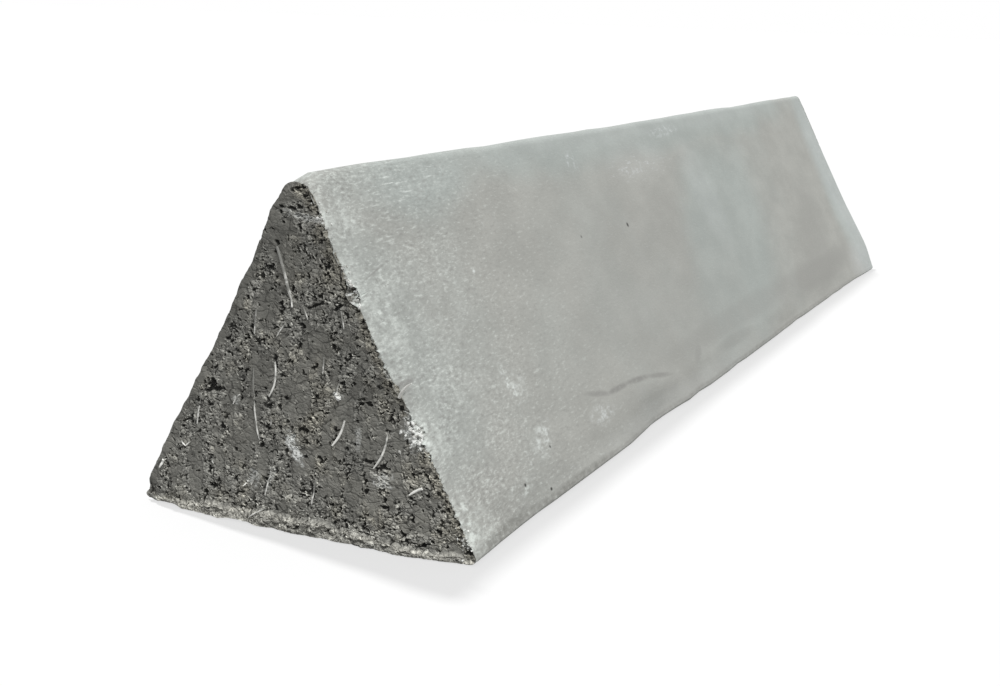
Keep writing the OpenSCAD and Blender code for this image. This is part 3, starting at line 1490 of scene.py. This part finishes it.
    @staticmethod
    def gather(bench: NodeBench, flank: Socket, kind: MarkKind) -> Socket:
        """Strength of the strongest mark of one kind.

        Args:
            bench: Where the nodes go.
            flank: Place along the bar and height.
            kind: Which marks to gather.

        Returns:
            A number from 0 away from the marks to 1.
        """
        cover = None
        for mark in MARKS[kind]:
            placed = bench.tree.nodes.new("ShaderNodeMapping")
            placed.vector_type = "TEXTURE"
            bench.feed(placed.inputs["Vector"], flank)
            placed.inputs["Location"].default_value = (mark.along * MM, mark.height * MM, 0.0)
            placed.inputs["Rotation"].default_value = (0.0, 0.0, math.radians(mark.turn))
            placed.inputs["Scale"].default_value = (mark.length / 2 * MM, mark.tallness / 2 * MM, 1.0)
            span = bench.tree.nodes.new("ShaderNodeVectorMath")
            span.operation = "LENGTH"
            bench.feed(span.inputs[0], placed.outputs[0])
            spot = bench.spread(span.outputs["Value"], *MARK_EDGE, 0.0, mark.strength)
            cover = spot if cover is None else bench.math("MAXIMUM", cover, spot)
        return cover

    def raw_face(
        self, bench: NodeBench, where: Socket
    ) -> tuple[Socket, Socket]:
        """Dark torn concrete with sand, fine pores, white bloom and the pale lip.

        The pores and fine cracks are darkened as painted shade, and the rims of pores, the crests of
        crumbs and the top of the lip are lightened as painted highlights.

        Args:
            bench: Where the nodes go.
            where: Object coordinates.

        Returns:
            The colour and the height of the fine relief.
        """
        torn = bench.stretch(where, (0.75, 1.0, 1.0))
        fine = bench.lumps(torn, 0.36, 2.0, 0.6)
        coarse = bench.lumps(torn, 0.85, 2.0, 0.5)
        patch = bench.lumps(where, 6.0, 4.0, 0.55)
        scrape = bench.lumps(bench.stretch(where, (1.0, 1.0, 0.1)), 0.7, 3.0)
        lip = bench.trace(Trace.LIP.value)
        smooth = bench.trace(Trace.PLATE.value)
        broken = bench.spread(smooth, 0.0, 1.0, 1.0, 0.15)
        crumb_border, crumb_tone = bench.cells(torn, 0.8)
        plate_border, plate_tone = bench.cells(torn, 2.1)
        gape = bench.math("SUBTRACT", bench.lumps(where, 1.2, 2.0), 0.47)
        # Painted shade in thin cracks: the seams between the smeared plates and the cracks between crumbs.
        seam = bench.spread(bench.math("SUBTRACT", plate_border, bench.times(gape, 0.4)), 0.02, -0.02)
        off_crack = bench.math("SUBTRACT", crumb_border, bench.times(gape, 0.4))
        crackle = bench.times(bench.spread(off_crack, 0.03, -0.03), broken)
        # Painted highlight on the crests of the crumbs beside the fine cracks.
        crest = bench.times(bench.spread(off_crack, 0.16, 0.06), bench.spread(gape, -0.04, 0.06), broken)
        fringe = bench.trace(Trace.FRINGE.value)
        brown = bench.math("MAXIMUM", bench.spread(patch, 0.45, 0.75), fringe)
        height = bench.add("ShaderNodeSeparateXYZ", Vector=where).outputs["Z"]
        colour = bench.mix(brown, self.raw, self.raw_brown)
        colour = bench.mix(smooth, colour, self.smeared)
        colour = bench.weigh(colour, fringe, 0.9)
        colour = bench.vary(colour, crumb_tone, 0.16, broken)
        # Painted highlight on the crumb crests.
        colour = bench.weigh(colour, crest, 1.5)
        pale_grain = bench.times(bench.spread(crumb_tone, 0.8, 0.9), broken)
        colour = bench.weigh(colour, pale_grain, 1.3)
        colour = bench.vary(colour, plate_tone, 0.07)
        # Painted shade in the thin cracks.
        colour = bench.weigh(colour, seam, 0.55)
        colour = bench.weigh(colour, crackle, 0.22)
        colour = bench.shade(colour, bench.spread(height, 8.0 * MM, 24.0 * MM, 1.2, 1.0))
        colour = bench.mix(lip, colour, self.lip)
        colour = bench.vary(colour, bench.lumps(torn, 1.2, 3.0, 0.6), 0.45, lip)
        # Painted highlight on the rims of the pores.
        colour = bench.weigh(colour, bench.trace(Trace.RIM_HIGHLIGHT.value), 1.75)
        colour = bench.vary(colour, patch, 0.1)
        colour = bench.vary(colour, scrape, 0.07)
        speck = bench.math("SUBTRACT", bench.ramp(fine, SPECKS), 1.0)
        colour = bench.shade(colour, bench.math("ADD", bench.times(speck, broken), 1.0))
        colour = bench.vary(colour, bench.lumps(where, 0.75, 3.0, 0.65), 0.25, broken)
        # Painted shade: darken the pores by their depth.
        colour = bench.shade(colour, bench.ramp(bench.trace(Trace.RECESS.value), HOLLOW_SHADE))
        relief = bench.math("ADD", bench.math("ADD", fine, coarse), bench.spread(crumb_border, 0.0, 0.2))
        rough = bench.times(relief, broken)
        return colour, bench.math("ADD", rough, bench.spread(plate_border, 0.0, 0.08, 0.0, 0.4))


@dataclass(frozen=True)
class FibreFinish:
    """Whitish fibre, dusted with cement where it lies deep in the face."""

    bare: Colour = (0.98, 0.975, 0.925, 1.0)
    dusted: Colour = (0.25, 0.25, 0.23, 1.0)
    roughness: float = 0.45

    def material(self) -> bpy.types.Material:
        """Build the finish.

        Returns:
            The material.
        """
        material = bpy.data.materials.new("fibre")
        bench = NodeBench(material)
        where = bench.place()
        film = bench.lumps(where, 1.0, 3.0)
        dust = bench.math("ADD", bench.trace(DUST), bench.spread(film, 0.3, 0.7, -0.4, 0.4))
        colour = bench.mix(bench.spread(dust, 0.0, 1.0), self.bare, self.dusted)
        bench.coat(Base_Color=colour, Roughness=self.roughness)
        return material


@dataclass(frozen=True)
class CrumbFinish:
    """Crumbs of broken skin, from chalky white to grey."""

    pale: Colour = (0.86, 0.87, 0.84, 1.0)
    grey: Colour = (0.4, 0.395, 0.365, 1.0)
    roughness: float = 0.95

    def material(self) -> bpy.types.Material:
        """Build the finish.

        Returns:
            The material.
        """
        material = bpy.data.materials.new("crumb")
        bench = NodeBench(material)
        where = bench.place()
        tone = bench.lumps(where, 0.8, 3.0)
        colour = bench.mix(bench.spread(tone, 0.35, 0.55), self.grey, self.pale)
        bench.coat(Base_Color=colour, Roughness=self.roughness)
        return material


@dataclass(frozen=True)
class Viewpoint:
    """The camera of the photograph: angles in degrees, place in millimetres from the base's middle."""

    azimuth: float = 24.61
    elevation: float = 13.09
    roll: float = 1.91
    place: tuple[float, float, float] = (124.4, -357.3, 86.5)
    lens: float = 51.3
    clip: float = 10.0

    def set_up(self) -> None:
        """Make the camera and look through it."""
        turn = math.radians(self.azimuth)
        lift = math.radians(self.elevation)
        lean = math.radians(self.roll)
        back = Vector(
            (math.sin(turn) * math.cos(lift), -math.cos(turn) * math.cos(lift), math.sin(lift))
        )
        level = Vector((math.cos(turn), math.sin(turn), 0.0))
        upright = back.cross(level)
        right = level * math.cos(lean) + upright * math.sin(lean)
        up = upright * math.cos(lean) - level * math.sin(lean)
        data = bpy.data.cameras.new("viewpoint")
        data.lens = self.lens
        data.clip_start = self.clip * MM
        camera = bpy.data.objects.new("viewpoint", data)
        turned = Matrix((right, up, back)).transposed().to_4x4()
        camera.matrix_world = Matrix.Translation(Vector(self.place) * MM) @ turned
        bpy.context.collection.objects.link(camera)
        bpy.context.scene.camera = camera


class FloorLight(Enum):
    """Whether a lamp leaves the floor out or lights nothing else."""

    WITHOUT = "EXCLUDE"
    ONLY = "INCLUDE"


@dataclass(frozen=True)
class Lamp:
    """A soft lamp: name, direction of its source, angle in degrees, strength and floor rule."""

    name: str
    origin: tuple[float, float, float]
    spread: float
    strength: float
    floor_light: FloorLight

    def hang(self, floor: bpy.types.Object) -> None:
        """Hang the lamp."""
        data = bpy.data.lights.new(self.name, "SUN")
        data.angle = math.radians(self.spread)
        data.energy = self.strength
        lamp = bpy.data.objects.new(self.name, data)
        lamp.rotation_euler = Vector(self.origin).to_track_quat("Z", "Y").to_euler()
        bpy.context.collection.objects.link(lamp)
        receivers = bpy.data.collections.new(f"{self.name}_receivers")
        receivers.objects.link(floor)
        lamp.light_linking.receiver_collection = receivers
        receivers.collection_objects[0].light_linking.link_state = self.floor_light.value


LAMPS = (
    Lamp("lamp", (0.45, -0.28, 0.85), 25.0, 2.35, FloorLight.WITHOUT),
    Lamp("back_lamp", (-0.6, 0.6, 0.5), 25.0, 1.3, FloorLight.WITHOUT),
    Lamp("shadow_lamp", (-0.59, 0.21, 1.0), 4.0, 3.3, FloorLight.ONLY),
)


@dataclass(frozen=True)
class Studio:
    """Plain pale floor, white surroundings and soft lamps, in metres."""

    floor_side: float = 20.0
    floor_drop: float = 0.0002
    floor_colour: Colour = (0.28, 0.28, 0.28, 1.0)
    floor_seen: Colour = (0.25, 0.25, 0.25, 1.0)
    floor_glow: float = 0.685
    fill: float = 0.45
    white: Colour = (1.0, 1.0, 1.0, 1.0)

    def set_up(self) -> None:
        """Lay the floor and light the bar."""
        floor = self.lay_floor()
        for lamp in LAMPS:
            lamp.hang(floor)
        self.surround()
        bpy.context.scene.view_settings.view_transform = "Standard"

    def lay_floor(self) -> bpy.types.Object:
        """Lay a pale floor that shows white and keeps the shadow.

        Returns:
            The floor.
        """
        bpy.ops.object.select_all(action="DESELECT")
        bpy.ops.mesh.primitive_plane_add(size=self.floor_side, location=(0.0, 0.0, -self.floor_drop))
        floor = bpy.context.object
        floor.name = "floor"
        material = bpy.data.materials.new("floor")
        bench = NodeBench(material)
        seen = self.seen(bench)
        colour = bench.mix(seen, self.floor_colour, self.floor_seen)
        pale = bench.add("ShaderNodeBsdfDiffuse", Color=colour)
        glow = bench.add("ShaderNodeEmission", Strength=bench.times(seen, self.floor_glow))
        both = bench.tree.nodes.new("ShaderNodeAddShader")
        bench.feed(both.inputs[0], pale.outputs[0])
        bench.feed(both.inputs[1], glow.outputs[0])
        bench.add("ShaderNodeOutputMaterial", Surface=both.outputs[0])
        material.cycles.emission_sampling = "NONE"
        floor.data.materials.append(material)
        return floor

    @staticmethod
    def seen(bench: NodeBench) -> Socket:
        """1 for what the camera sees directly, in a mirror or through glass, and 0 for light."""
        path = bench.tree.nodes.new("ShaderNodeLightPath")
        direct = bench.math("MAXIMUM", path.outputs["Is Camera Ray"], path.outputs["Is Glossy Ray"])
        return bench.math("MAXIMUM", direct, path.outputs["Is Transmission Ray"])

    def surround(self) -> None:
        """Fill with even light, and show white behind the bar."""
        world = bpy.data.worlds.new("surroundings")
        bpy.context.scene.world = world
        bench = NodeBench(world)
        strength = bench.spread(self.seen(bench), 0.0, 1.0, self.fill, 1.0)
        even = bench.add("ShaderNodeBackground", Color=self.white, Strength=strength)
        bench.add("ShaderNodeOutputWorld", Surface=even.outputs[0])


def main() -> None:
    """Build the bar and the studio in order."""
    logging.basicConfig(level=logging.INFO, format="%(name)s: %(message)s")
    low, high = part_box(NODE)
    section = BarSection(half_width=high.x / MM, height=high.z / MM)
    Viewpoint().set_up()
    bar = SpacerBar(section, near=low.y / MM, far=high.y / MM)
    bar.build()
    bar.dress(ConcreteFinish(bar.near, bar.far))
    fibres = Fibres(bar)
    fibres.build()
    fibres.dress(FibreFinish())
    crumbs = Crumbs(bar)
    crumbs.build()
    crumbs.dress(CrumbFinish())
    for made in (bar, fibres, crumbs):
        log.info("%s: %d faces", made.piece.name, len(made.piece.data.polygons))
    Studio().set_up()


if __name__ == "__main__":
    main()
